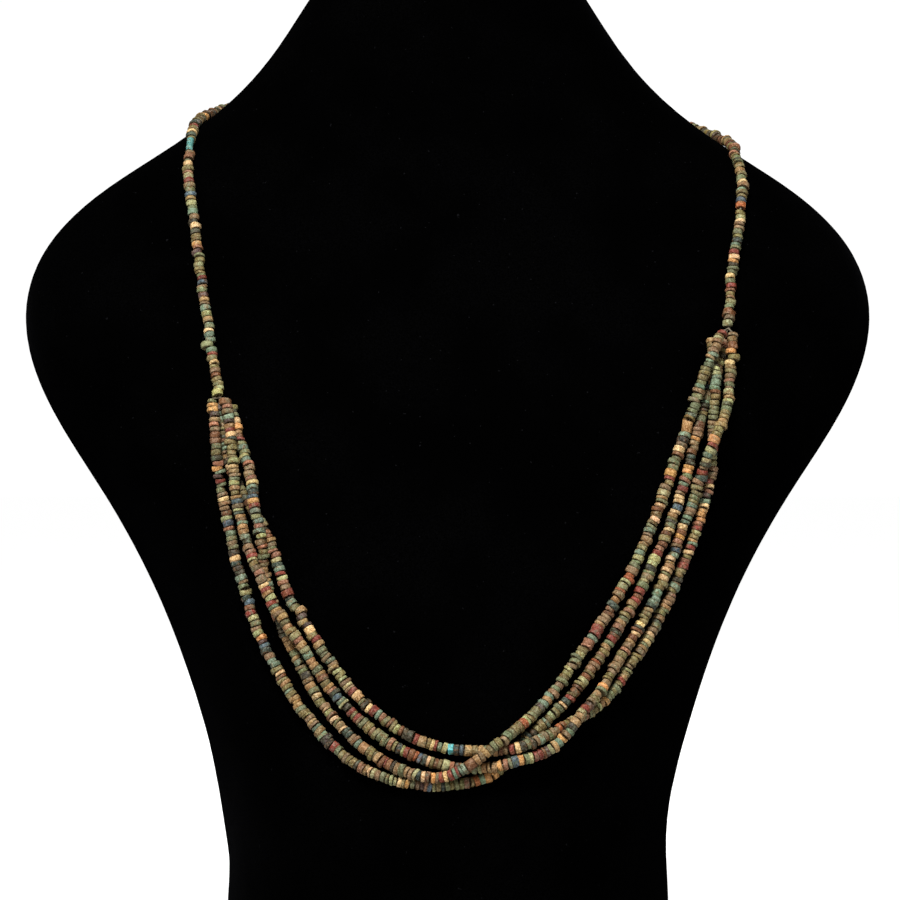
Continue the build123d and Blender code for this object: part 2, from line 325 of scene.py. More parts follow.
def strung_discs(line, start, end, accents, radius, grading, random):
    """One row of numbers for each disc threaded from start to end: the length reached at its
    middle, its length, its radius, its sideways stand and its tint's three numbers. Lengths
    are drawn at random, the discs at the ends are smaller by the share called grading, like
    tints follow each other now and then, and an accent takes the place of the disc that lies
    where it is seen."""
    seen = seen_in_photo(line.points)
    marked = []
    for values in accents:
        accent = Accent(*values)
        miss = np.hypot(seen[:, 0] - accent.across, seen[:, 1] - accent.down)
        marked.append((line.reach[np.argmin(miss)], accent))
    marked = sorted((mark for mark in marked if start < mark[0] < end), key=lambda mark: mark[0])
    names = list(tints)
    often = np.array([tints[name].often for name in names], float)
    often /= often.sum()
    rows = []
    reached = start
    usual = "olive"
    while True:
        length = float(np.clip(random.normal(disc_length, length_spread), length_least, length_most))
        along = (reached - start) / (end - start)
        grade = 1 - grading * (2 * along - 1) ** 2
        wide = grade * float(np.clip(random.normal(wide_usual, wide_spread), wide_least, wide_most))
        gap = random.triangular(gap_least, gap_usual, gap_most) * mm
        if random.random() > repeat_share:
            usual = names[random.choice(len(names), p=often)]
        name = usual
        out = 0.0
        if marked and marked[0][0] < reached + length:
            accent = marked.pop(0)[1]
            name = accent.tint
            length = accent.long * mm if accent.long else length
            wide = accent.wide
            out = accent.out * mm
        if reached + length > end:
            break
        tone = linear(tints[name]) * random.normal(1.0, shade_spread) * random.normal(1.0, hue_spread, 3)
        rows.append((reached + length / 2, length, radius * wide, out, *np.clip(tone, darkest, lightest)))
        reached += length + gap
    rows = np.array(rows)
    rows[:, 0] = start + (rows[:, 0] - start) * (end - start) / (reached - start)
    return rows


disc_sides = 12
disc_bore = 0.42 * mm
disc_rim = 0.23 * mm
sharp_edge = math.radians(38)


def mesh_piece(name, points, corners, material):
    """An object from an array of points and an array of four-cornered faces, shaded smoothly
    except over its sharp edges."""
    mesh = bpy.data.meshes.new(name)
    mesh.vertices.add(len(points))
    mesh.vertices.foreach_set("co", points.ravel())
    mesh.loops.add(corners.size)
    mesh.loops.foreach_set("vertex_index", corners.ravel())
    mesh.polygons.add(len(corners))
    mesh.polygons.foreach_set("loop_start", np.arange(0, corners.size, 4))
    mesh.polygons.foreach_set("use_smooth", np.ones(len(corners), bool))
    mesh.update(calc_edges=True)
    mesh.set_sharp_from_angle(angle=sharp_edge)
    mesh.materials.append(material)
    piece = bpy.data.objects.new(name, mesh)
    bpy.context.scene.collection.objects.link(piece)
    return piece


def ring_faces(rings, sides, closed):
    """Corner numbers of the faces between neighbouring rings of points, each ring closed round
    and, where closed is true, the last ring joined to the first."""
    ring = np.arange(rings if closed else rings - 1)[:, None]
    side = np.arange(sides)[None, :]
    after = (ring + 1) % rings
    beside = (side + 1) % sides
    corners = (ring * sides + side, ring * sides + beside, after * sides + beside, after * sides + side)
    return np.stack(np.broadcast_arrays(*corners), -1).reshape(-1, 4)


def give_traits(piece, tone, traits, wear_and_shade):
    """Puts on each point of a piece its disc's tint and traits, and a share that is highest on the
    rim and falls to nothing in the bore: it sets the wear on the rim, and the soil and painted
    shade on the faces and in the bore.
    """
    data = piece.data.attributes
    data.new("disc_tint", "FLOAT_COLOR", "POINT").data.foreach_set("color", tone.ravel())
    data.new("disc_trait", "FLOAT_VECTOR", "POINT").data.foreach_set("vector", traits.ravel())
    data.new("disc_rim", "FLOAT", "POINT").data.foreach_set("value", wear_and_shade.ravel())


resting_gap = 0.12 * mm
thread_slack = 0.9 * mm


def settled(points, radii):
    """Centres of discs moved in towards the skin until they nearly rest on it, each by the part
    of its gap to the skin that is over the resting gap, up to the slack of its thread."""
    moved = points.copy()
    for place, radius in zip(moved, radii):
        skin, _, _, far = bust_skin.find_nearest(Vector(place))
        step = min(max(far - radius - resting_gap, 0.0), thread_slack)
        place += (np.array(skin) - place) / far * step
    return moved


# A rim's bevel runs along the disc by a share of disc_rim from this range, but by no more than
# this share of half the disc, and is this many times as wide as it is high.
rim_range = (0.6, 1.5)
rim_most = 0.7
rim_inset = 0.6

# How uneven the discs are: their most oval and three-cornered outline, the roughness of it and
# the wedge of the faces, as shares of the size, then how many rims are chipped, how deep, and
# how much more a chip takes off the face than off the outline.
oval_most = 0.055
three_cornered_most = 0.040
outline_roughness = 0.022
wedge_most = 0.22
chipped_share = 0.28
chip_least = 0.06
chip_most = 0.26
chip_face = 1.4
chip_reach = np.array([0, 1, 1, 0.35, 0, 0])
# Each ring of the profile, from bore to rim and back, gets a share. High values set the wear on the rim;
# low values set the soil and the painted shade on the faces and in the bore.
rim_wear_and_shade = np.array([0.0, 0.7, 1.0, 1.0, 0.7, 0.0])

# How loosely they sit: the slow wander of the string, with the discs it is averaged over, and
# the stray of each disc, in millimetres sideways, with the share of it that goes up and down,
# then the tilt that neighbours share and each disc's own, in radians.
wander_reach = 0.25
wander_discs = 9
stray_spread = 0.16
stray_most = 0.36
upward_share = 0.5
shared_tilt = 0.11
own_tilt = 0.05
tilt_most = 0.30


def disc_piece(name, line, rows, material, random, resting=False):
    """All the discs of one string as one mesh. A disc is a closed profile of six points, from the
    bore out over the face and the rubbed rim and back, turned round its thread. The outline's
    radius is multiplied by 1 plus two cosines of the turn and a random share, the height of
    its faces by 1 plus a cosine, and a chip takes a sixth power of a cosine off one rim. The
    disc is tilted and moved a little off the line, and goes back where it would stand out in
    front of the CAD box."""
    count = len(rows)
    half = rows[:, 1] / 2
    radius = rows[:, 2]
    centre, way = on_line(line, rows[:, 0])
    centre = settled(centre, radius) if resting else centre
    pick = random.normal(size=(count, 3))
    first = unit(np.cross(way, pick))
    second = np.cross(way, first)
    wander = random.normal(size=(count + wander_discs - 1, 2))
    evenly = np.ones(wander_discs) / wander_discs
    slow = np.stack([np.convolve(wander[:, axis], evenly, "valid") for axis in range(2)], 1)
    own_stray = np.clip(random.normal(size=(count, 2)) * stray_spread, -stray_most, stray_most)
    stray = slow * wander_reach * mm + own_stray * mm
    sideways = np.zeros((count, 3))
    sideways[:, 0] = 1
    sideways -= way * way[:, :1]
    level = np.cross(way, sideways)
    centre = centre + sideways * (rows[:, 3] + stray[:, 0])[:, None] + level * stray[:, 1:] * upward_share
    leaning = random.normal(size=(count + 2, 2)) * shared_tilt
    tilt = (leaning[:-2] + leaning[1:-1] + leaning[2:]) / 2
    tilt = np.clip(tilt + random.normal(size=(count, 2)) * own_tilt, -tilt_most, tilt_most)
    axis = unit(way + first * tilt[:, :1] + second * tilt[:, 1:])
    first = unit(np.cross(second, axis))
    second = np.cross(axis, first)

    rim = np.minimum(disc_rim * random.uniform(*rim_range, count), half * rim_most)
    bore = np.full(count, disc_bore)
    along = np.stack([-half, -half, rim - half, half - rim, half, half], 1)
    face = radius - rim_inset * rim
    outward = np.stack([bore, face, radius, radius, face, bore], 1)
    turn = np.arange(disc_sides) * 2 * math.pi / disc_sides
    phase = random.uniform(0, 2 * math.pi, (count, 4))
    wave = (
        1
        + random.uniform(0.0, oval_most, (count, 1)) * np.cos(2 * turn + phase[:, :1])
        + random.uniform(0.0, three_cornered_most, (count, 1)) * np.cos(3 * turn + phase[:, 1:2])
        + random.normal(size=(count, disc_sides)) * outline_roughness
    )
    wedge = 1 + random.uniform(0.0, wedge_most, (count, 1)) * np.cos(turn + phase[:, 2:3])
    is_chipped = random.random(count) < chipped_share
    chip_depth = np.where(is_chipped, random.uniform(chip_least, chip_most, count), 0.0)
    chip = chip_depth[:, None] * np.clip(np.cos(turn + phase[:, 3:4]), 0, 1) ** 6
    chipped = chip[:, None, :] * chip_reach[None, :, None]
    grown = np.array([0, 1, 1, 1, 1, 0])
    reach = outward[:, :, None] * (1 + (wave - 1)[:, None, :] * grown[None, :, None])
    reach *= 1 - chipped
    stand = along[:, :, None] * wedge[:, None, :] * (1 - chip_face * chipped)
    spoke = first[:, None] * np.cos(turn)[None, :, None] + second[:, None] * np.sin(turn)[None, :, None]
    points = (
        centre[:, None, None, :]
        + axis[:, None, None, :] * stand[..., None]
        + spoke[:, None, :, :] * reach[..., None]
    )
    ahead = np.maximum(cad_box[0][1] - points[..., 1].min(axis=(1, 2)), 0)
    points[..., 1] += ahead[:, None, None]
    rings = points.shape[1]
    one = ring_faces(rings, disc_sides, closed=True)
    corners = (np.arange(count)[:, None, None] * rings * disc_sides + one[None]).reshape(-1, 4)
    piece = mesh_piece(name, points.reshape(-1, 3), corners, material)

    each = rings * disc_sides
    tone = np.concatenate([rows[:, 4:7], np.ones((count, 1))], 1)
    traits = random.random((count, 3))
    wear_and_shade = np.broadcast_to(rim_wear_and_shade[None, :, None], points.shape[:3])
    give_traits(piece, np.repeat(tone, each, 0), np.repeat(traits, each, 0), wear_and_shade)
    return piece


# Weathered faience, for every disc and bead: each has its own patch of grain and pits, brown
# soil in its pits and bore, painted shade of the same brown on the faces where discs meet,
# and paler wear on the rim.
faience = bpy.data.node_groups.new("weathered_faience", "ShaderNodeTree")
for name, kind, value in (
    ("Tint", "NodeSocketColor", (0.2, 0.18, 0.1, 1)),
    ("Trait", "NodeSocketVector", (0.5, 0.5, 0.5)),
    ("Rim", "NodeSocketFloat", 1.0),
    ("Soil_and_shade", "NodeSocketFloat", 0.6),
    ("Wear", "NodeSocketFloat", 0.4),
    ("Gloss", "NodeSocketFloat", 0.2),
):
    socket = faience.interface.new_socket(name, in_out="INPUT", socket_type=kind)
    socket.default_value = value
faience.interface.new_socket("Color", in_out="OUTPUT", socket_type="NodeSocketColor")
faience.interface.new_socket("Roughness", in_out="OUTPUT", socket_type="NodeSocketFloat")
faience.interface.new_socket("Height", in_out="OUTPUT", socket_type="NodeSocketFloat")

given = faience.nodes.new("NodeGroupInput").outputs
place = node(faience, "ShaderNodeTexCoord").outputs["Object"]
apart = (7.0, 7.0, 7.0)
shift = node(faience, "ShaderNodeVectorMath", {0: given["Trait"], 1: apart}, operation="MULTIPLY")
spot = node(faience, "ShaderNodeVectorMath", {0: place, 1: shift.outputs[0]}, operation="ADD").outputs[0]
grain = noise(faience, spot, scale=3000.0, detail=3.0)
mottle = noise(faience, spot, scale=1700.0, detail=2.0)
patch = noise(faience, spot, scale=900.0, detail=2.0)
pits = node(faience, "ShaderNodeTexVoronoi", {"Vector": spot, "Scale": 2800.0}).outputs["Distance"]
trait = node(faience, "ShaderNodeSeparateXYZ", {0: given["Trait"]}).outputs


def times(tree, first, second):
    """The product of two values."""
    return node(tree, "ShaderNodeMath", {0: first, 1: second}, operation="MULTIPLY").outputs[0]


lighter = (1.38, 1.32, 1.22, 1)
deeper = (0.42, 0.28, 0.11, 1)
bare_body = (0.62, 0.58, 0.47, 1)
light = mixed(faience, 1.0, given["Tint"], lighter, "MULTIPLY")
pale = mixed(faience, 0.16, light, bare_body)
deep = mixed(faience, 1.0, given["Tint"], deeper, "MULTIPLY")
rust = (0.230, 0.090, 0.026, 1)
verdigris = (0.150, 0.200, 0.115, 1)
# A dark brown for soil in the pits and the bore, and for painted shade on the faces where the discs meet.
soil_and_shade_brown = (0.050, 0.023, 0.005, 1)
stain = mixed(faience, between(faience, trait[2], 0.45, 0.55), rust, verdigris)
colour = mixed(faience, between(faience, patch, 0.50, 0.62, new_high=0.65), given["Tint"], stain)
colour = mixed(faience, between(faience, mottle, 0.52, 0.66), colour, pale)
colour = mixed(faience, between(faience, grain, 0.38, 0.54, new_low=0.6, new_high=0.0), colour, deep)
soiled = times(faience, trait[0], given["Soil_and_shade"])
soiled = times(faience, soiled, between(faience, mottle, 0.56, 0.40))
colour = mixed(faience, soiled, colour, deep)
# Painted shade: towards the bore, over the faces where each disc meets the next, the colour goes to the
# soil brown by the soil amount. In the bore this stands for soil; in the joints between discs it is painted
# shade.
near_bore = between(faience, given["Rim"], 0.55, 0.98, new_low=1.0, new_high=0.0)
soil_and_joint_shade = times(faience, given["Soil_and_shade"], near_bore)
colour = mixed(faience, soil_and_joint_shade, colour, soil_and_shade_brown)
rubbed = times(faience, given["Rim"], given["Wear"])
rubbed = times(faience, rubbed, between(faience, grain, 0.50, 0.62))
colour = mixed(faience, rubbed, colour, pale)
colour = mixed(faience, between(faience, pits, 0.12, 0.26, new_low=0.8, new_high=0.0), colour, soil_and_shade_brown)
glaze = times(faience, trait[1], given["Gloss"])
grainy = between(faience, grain, 0.3, 0.7, new_low=0.62, new_high=0.86)
rough = node(faience, "ShaderNodeMath", {0: grainy, 1: glaze}, operation="SUBTRACT").outputs[0]
raised = times(faience, grain, between(faience, pits, 0.05, 0.30))
result = faience.nodes.new("NodeGroupOutput").inputs
faience.links.new(colour, result["Color"])
faience.links.new(rough, result["Roughness"])
faience.links.new(raised, result["Height"])


def faience_material(name, soil, wear, gloss):
    """A material of weathered faience for discs, each with its own tint and traits, with these
    amounts of soil, which also sets the painted shade between the discs, of wear on the rims
    and of gloss."""
    made, tree, shader = new_material(name)
    tint = node(tree, "ShaderNodeAttribute", attribute_name="disc_tint").outputs["Color"]
    trait = node(tree, "ShaderNodeAttribute", attribute_name="disc_trait").outputs["Vector"]
    rim = node(tree, "ShaderNodeAttribute", attribute_name="disc_rim").outputs["Fac"]
    body = node(tree, "ShaderNodeGroup", node_tree=faience)
    for socket, link in (("Tint", tint), ("Trait", trait), ("Rim", rim)):
        tree.links.new(link, body.inputs[socket])
    body.inputs["Soil_and_shade"].default_value = soil
    body.inputs["Wear"].default_value = wear
    body.inputs["Gloss"].default_value = gloss
    height = body.outputs["Height"]
    relief = node(tree, "ShaderNodeBump", {"Height": height, "Strength": 0.7, "Distance": 0.1 * mm})
    tree.links.new(body.outputs["Color"], shader.inputs["Base Color"])
    tree.links.new(body.outputs["Roughness"], shader.inputs["Roughness"])
    tree.links.new(relief.outputs["Normal"], shader.inputs["Normal"])
    shader.inputs["Specular IOR Level"].default_value = 0.28
    return made


def middle_of(name):
    """The middle of a CAD node's box."""
    low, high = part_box(name)
    return (low + high) / 2


neck_line = string_line(
    [front_place(point, neck_bead_radius) for point in neck_left_route]
    + [back_place(point, neck_bead_radius) for point in neck_back_route]
    + [front_place(point, neck_bead_radius) for point in neck_right_route]
)
gathering_length = 1.5 * mm
tube_length = 4.8 * mm
neck_gap = 0.05 * mm
neck_disc_radius = 0.93 * neck_bead_radius
left_gathering = nearest_reach(neck_line, middle_of("gathering_bead_left"))
right_gathering = nearest_reach(neck_line, middle_of("gathering_bead_right"))
tube_place = nearest_reach(neck_line, middle_of("tube_bead"))
neck_middle = neck_line.reach[-1] / 2

neck_left_accents = [
    (217, 388, "leaf"), (216, 383, "olive"), (215, 377, "brown"), (215, 371, "taupe", 1.3),
    (214, 363, "cream", 1.2), (213, 357, "olive"), (211, 352, "red", 0.9),
    (204, 347, "leaf", 1.5, 1.2, -1.0), (210, 342, "sea"), (209, 337, "sea", 1.3),
    (208, 330, "cream", 1.0), (207, 323, "tan", 1.6), (206, 315, "leaf", 1.7), (206, 308, "sea"),
    (205, 302, "tan"), (204, 296, "mauve"), (203, 290, "moss"), (203, 284, "slate"),
    (202, 279, "red", 0.8), (201, 273, "olive"), (200, 267, "leaf", 1.4), (199, 261, "olive"),
    (198, 254, "mauve", 1.3), (197, 249, "rose", 0.9), (195, 246, "honey", 1.2),
    (195, 236, "olive", 1.4), (194, 228, "cream", 1.5, 1.1), (193, 219, "taupe", 1.4),
    (193, 212, "sea", 1.5), (192, 205, "leaf", 1.4), (191, 197, "slate", 1.2, 1.1),
    (190, 191, "moss", 1.4), (189, 184, "red", 1.4), (189, 177, "leaf", 1.3), (189, 172, "rose", 0.8),
    (189, 166, "cream", 1.5), (190, 156, "rose", 1.3), (193, 134, "cream", 1.4, 1.1),
    # Of the discs from here on, where the string turns over the shoulder away from the light, the dark ones
    # are painted shade.
    (195, 128, "red", 1.3), (197, 124, "dark", None, 1.0, 0.2), (200, 121, "dark", None, 1.0, 0.3),
    (203, 118, "honey", None, 1.0, 0.4), (207, 115, "brown", None, 1.0, 0.4),
    (210, 113, "dark", None, 1.0, 0.3), (215, 111, "dark", None, 1.0, 0.1), (219, 109, "mauve"),
    (223, 107, "dark"), (228, 106, "dark"),
]
neck_right_accents = [
    # Of the discs on the next four lines, where the string comes over the shoulder away from the light, the
    # dark ones are painted shade.
    (706, 130, "dark"), (710, 131, "olive", None, 1.0, -0.1), (714, 132, "dark", None, 1.0, -0.3),
    (718, 134, "mauve", None, 1.0, -0.4), (722, 136, "dark", None, 1.0, -0.5),
    (726, 139, "brown", None, 1.0, -0.5), (730, 143, "tan", None, 1.0, -0.5),
    (732, 147, "olive", None, 1.0, -0.4), (734, 154, "rose", 1.2, 1.0, -0.2), (738, 161, "dark", 1.2),
    (740, 168, "tan", 1.7), (741, 177, "moss", 1.6), (741, 183, "cream"), (741, 191, "sea"),
    (741, 198, "slate", 1.4, 1.05), (740, 204, "orange", 1.5), (740, 210, "cream", 1.0, 0.5),
    (739, 216, "leaf", 1.5), (738, 223, "cream", 0.9), (737, 233, "moss", 1.6), (736, 243, "sea"),
    (734, 257, "cream", 1.2, 1.1), (733, 262, "honey", 1.0, 1.1), (731, 275, "cream", 1.4),
    (730, 281, "moss"), (729, 288, "red", 1.1, 1.05), (729, 292, "rose", 0.8), (728, 299, "leaf", 1.5),
    (729, 310, "brown", 2.2, 1.18),
]

chance = np.random.default_rng(11)
neck_faience = faience_material("neck_faience", soil=0.75, wear=0.45, gloss=0.25)
left_start = left_gathering + gathering_length / 2 + neck_gap
tube_low_end = tube_place - tube_length / 2 - neck_gap
tube_high_end = tube_place + tube_length / 2 + neck_gap
right_end = right_gathering - gathering_length / 2 - neck_gap
left_rows = np.concatenate([
    strung_discs(
        neck_line, left_start, tube_low_end, neck_left_accents, neck_disc_radius, 0.0, chance
    ),
    strung_discs(
        neck_line, tube_high_end, neck_middle, neck_left_accents, neck_disc_radius, 0.0, chance
    ),
])
neck_discs_left = disc_piece("neck_discs_left", neck_line, left_rows, neck_faience, chance, resting=True)
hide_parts("neck_string_left")
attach(neck_discs_left, "root")

right_rows = strung_discs(
    neck_line, neck_middle + neck_gap, right_end, neck_right_accents, neck_disc_radius, 0.0, chance
)
neck_discs_right = disc_piece("neck_discs_right", neck_line, right_rows, neck_faience, chance, resting=True)
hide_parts("neck_string_right")
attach(neck_discs_right, "root")


# Gathering beads. A slightly thicker disc of faience on each side, yellow-green on the left and
# grey-green on the right. Both ends of the thread are knotted under them, and the four
# strands start there.
def gathering_piece(name, reached, tint):
    """A single thick disc in its own piece."""
    row = np.array([(reached, gathering_length, neck_bead_radius, 0.0, *linear(tint))])
    return disc_piece(name, neck_line, row, neck_faience, chance)


for side, reached, tint in (
    ("left", left_gathering, Tint(176, 178, 112, 0)),
    ("right", right_gathering, Tint(150, 156, 118, 0)),
):
    piece = gathering_piece(f"gathering_disc_{side}", reached, tint)
    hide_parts(f"gathering_bead_{side}")
    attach(piece, "root")


# Tube bead. One slim tube of turquoise faience on the left shoulder, cut a little crooked at
# both ends. Its glaze is rubbed through to the pale body in places. Its bore, ripples and
# crookedness are shares of its radius and of its length.
tube_radius = 0.95 * mm
tube_tint = Tint(84, 148, 144, 0)
tube_traits = (0.4, 0.9, 0.3)
tube_wear = 0.85
tube_bore = 0.45
tube_oval = 0.025
tube_ripple = 0.02
tube_roughness = 0.006
tube_crookedness = 0.045


def tube_piece(name, line, reached, length, radius, tint, material, random):
    """A tube along a line: a closed profile of ten points turned round it and bent with it. The
    radius is slightly waisted and multiplied by 1 plus two cosines of the turn, and the ends
    are uneven by a cosine of the turn times the cube of the place along the tube."""
    sides = 20
    shares = np.array([-1, -1, -0.94, -0.5, 0, 0.5, 0.94, 1, 1, 0])
    swell = np.array([0.0, 0.90, 1.0, 0.96, 0.93, 0.97, 1.02, 0.90, 0.0, 0.0])
    centre, way = on_line(line, reached + shares * length / 2)
    turn = np.arange(sides) * 2 * math.pi / sides
    first = unit(np.cross(way, (1.0, 0.0, 0.0)))
    second = np.cross(way, first)
    wave = 1 + tube_oval * np.cos(2 * turn + 0.6) + tube_ripple * np.cos(5 * turn)
    wave += random.normal(size=sides) * tube_roughness
    bore = tube_bore * radius
    reach = np.where(swell[:, None] > 0, swell[:, None] * radius * wave[None], bore)
    crooked = tube_crookedness * length * np.cos(turn + 1.0)[None] * shares[:, None] ** 3
    points = (
        centre[:, None]
        + way[:, None] * crooked[..., None]
        + first[:, None] * (reach * np.cos(turn))[..., None]
        + second[:, None] * (reach * np.sin(turn))[..., None]
    )
    piece = mesh_piece(name, points.reshape(-1, 3), ring_faces(len(shares), sides, closed=True), material)
    wear_and_shade = np.repeat(np.where(np.abs(shares) > 0.9, 1.0, tube_wear) * (swell > 0), sides)
    count = len(wear_and_shade)
    give_traits(piece, np.tile(np.append(linear(tint), 1.0), count), np.tile(tube_traits, count), wear_and_shade)
    return piece


tube_glaze = faience_material("tube_glaze", soil=0.25, wear=0.4, gloss=0.4)
turquoise_tube = tube_piece(
    "turquoise_tube", neck_line, tube_place, tube_length, tube_radius, tube_tint, tube_glaze, chance
)
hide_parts("tube_bead")
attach(turquoise_tube, "root")


# Front strands. Four strings of the same discs hang from the gathering beads in one swag, lie on
# the chest and cross each other: near the top on both sides, and low on the right. Each
# replaces one plain tube, and follows its route.
strand_routes = {
    1: [
        (-53.4, 53.7, 2.6), (-53.0, 52.3, 3.0), (-52.5, 50.0, 2.9), (-52.0, 48.0, 2.2), (-51.0, 45.6, 0.6),
        (-49.4, 42.3, 0.0), (-47.2, 38.5, 0.0), (-44.5, 34.9, 0.0), (-41.0, 31.1, 0.0), (-35.8, 27.4, 0.0),
        (-29.0, 23.6, 0.0), (-21.8, 21.0, 0.0), (-14.2, 19.6, 0.0), (-7.1, 19.0, 0.0), (-0.9, 18.9, 0.0),
        (4.9, 19.2, 0.0), (9.1, 19.7, 0.0), (12.2, 20.5, 0.0), (14.6, 21.8, 0.0), (17.4, 23.2, 0.0),
        (22.7, 25.0, 0.0), (28.7, 27.4, 0.0), (34.6, 30.7, 0.0), (41.3, 34.8, 0.0), (46.8, 39.2, 0.0),
        (51.2, 43.2, 0.0), (54.5, 47.4, 0.0), (56.7, 51.1, 0.0), (58.5, 53.7, 0.0), (61.0, 55.9, 0.0),
        (62.4, 57.7, 0.0), (63.1, 59.3, 0.0),
    ],
    2: [
        (-50.3, 53.7, 2.8), (-49.7, 52.2, 2.9), (-48.8, 50.0, 2.8), (-48.2, 47.6, 2.9), (-47.8, 45.6, 2.9),
        (-47.2, 43.8, 2.6), (-46.1, 42.0, 2.6), (-45.0, 40.3, 3.5), (-43.4, 38.8, 4.0), (-41.7, 37.4, 3.7),
        (-40.1, 36.1, 3.2), (-38.5, 34.8, 3.0), (-36.6, 33.7, 2.9), (-34.8, 32.7, 2.9), (-33.1, 31.8, 2.4),
        (-31.4, 30.8, 1.5), (-29.4, 29.3, 0.5), (-26.3, 27.6, 0.0), (-20.2, 25.0, 0.0), (-13.3, 22.7, 0.0),
        (-6.2, 21.4, 0.0), (0.4, 20.6, 0.0), (5.5, 20.5, 0.8), (9.3, 20.6, 2.0), (12.6, 20.9, 2.9),
        (16.1, 21.3, 2.8), (20.4, 21.7, 2.0), (23.8, 22.4, 2.4), (26.7, 23.7, 3.1), (30.0, 25.5, 2.7),
        (33.9, 27.2, 1.2), (38.7, 30.2, 0.0), (45.0, 34.3, 0.0), (50.1, 38.6, 0.0), (54.2, 43.0, 0.0),
        (57.0, 46.3, 1.0), (58.8, 48.6, 2.7), (60.7, 50.3, 4.1), (62.9, 52.2, 3.6), (63.9, 54.5, 1.6),
        (64.4, 56.5, 1.6), (64.7, 58.2, 2.5), (64.8, 59.9, 2.6),
    ],
    3: [
        (-51.9, 53.1, 0.0), (-51.3, 51.5, 0.0), (-50.5, 49.5, 0.0), (-49.1, 47.6, 0.0), (-47.3, 46.0, 0.0),
        (-45.2, 44.5, 0.0), (-42.8, 43.0, 0.0), (-40.8, 41.4, 0.0), (-39.4, 40.1, 0.0), (-38.2, 38.8, 0.0),
        (-37.3, 37.5, 0.0), (-36.2, 36.2, 0.0), (-34.6, 35.0, 0.0), (-32.5, 33.6, 0.0), (-30.3, 32.3, 0.0),
        (-27.7, 30.7, 0.0), (-22.3, 27.7, 0.0), (-16.0, 25.4, 0.0), (-8.4, 23.3, 0.0), (-0.4, 22.2, 0.0),
        (4.9, 22.1, 0.5), (8.9, 22.1, 1.1), (12.2, 22.15, 2.0), (15.3, 22.35, 2.9), (18.6, 22.8, 2.8),
        (22.4, 23.4, 1.3), (26.3, 24.3, 0.0), (31.7, 25.4, 0.0), (36.9, 27.1, 0.0), (41.5, 29.9, 0.0),
        (47.1, 33.2, 0.0), (51.7, 37.1, 0.0), (55.4, 40.9, 0.0), (58.5, 44.8, 0.0), (60.0, 48.0, 0.0),
        (59.9, 50.2, 0.6), (60.1, 52.5, 1.9), (60.7, 54.5, 2.8), (61.0, 56.2, 2.9), (60.4, 57.8, 1.8),
        (60.3, 59.3, 1.0),
    ],
    4: [
        (-49.0, 53.2, 0.0), (-48.0, 51.5, 0.0), (-46.7, 49.5, 0.3), (-45.0, 47.6, 1.3), (-43.9, 45.6, 2.4),
        (-43.3, 43.9, 2.9), (-42.6, 42.5, 2.9), (-42.0, 41.1, 2.9), (-41.5, 39.9, 2.3), (-41.3, 38.8, 1.2),
        (-41.0, 37.7, 0.5), (-40.2, 36.4, 0.1), (-39.1, 35.1, 0.0), (-37.8, 33.8, 0.0), (-36.4, 32.4, 0.0),
        (-35.1, 31.2, 0.0), (-33.0, 29.8, 0.0), (-29.0, 26.5, 0.0), (-23.3, 23.9, 0.0), (-17.1, 21.7, 0.0),
        (-10.9, 20.4, 0.5), (-5.8, 19.8, 1.8), (-1.5, 19.7, 2.4), (1.8, 20.1, 3.0), (5.1, 21.0, 3.6),
        (7.9, 21.9, 4.2), (11.0, 22.8, 4.3), (14.4, 23.7, 2.9), (18.4, 25.1, 0.8), (23.8, 27.3, 0.0),
        (30.1, 30.9, 0.0), (36.2, 34.4, 0.0), (42.2, 38.8, 0.0), (46.8, 43.0, 0.0), (50.1, 46.7, 0.0),
        (53.7, 50.6, 0.2), (55.9, 53.3, 1.4), (57.7, 55.5, 3.2), (59.3, 57.3, 4.5), (60.9, 58.8, 4.5),
        (62.4, 60.0, 3.8),
    ],
}
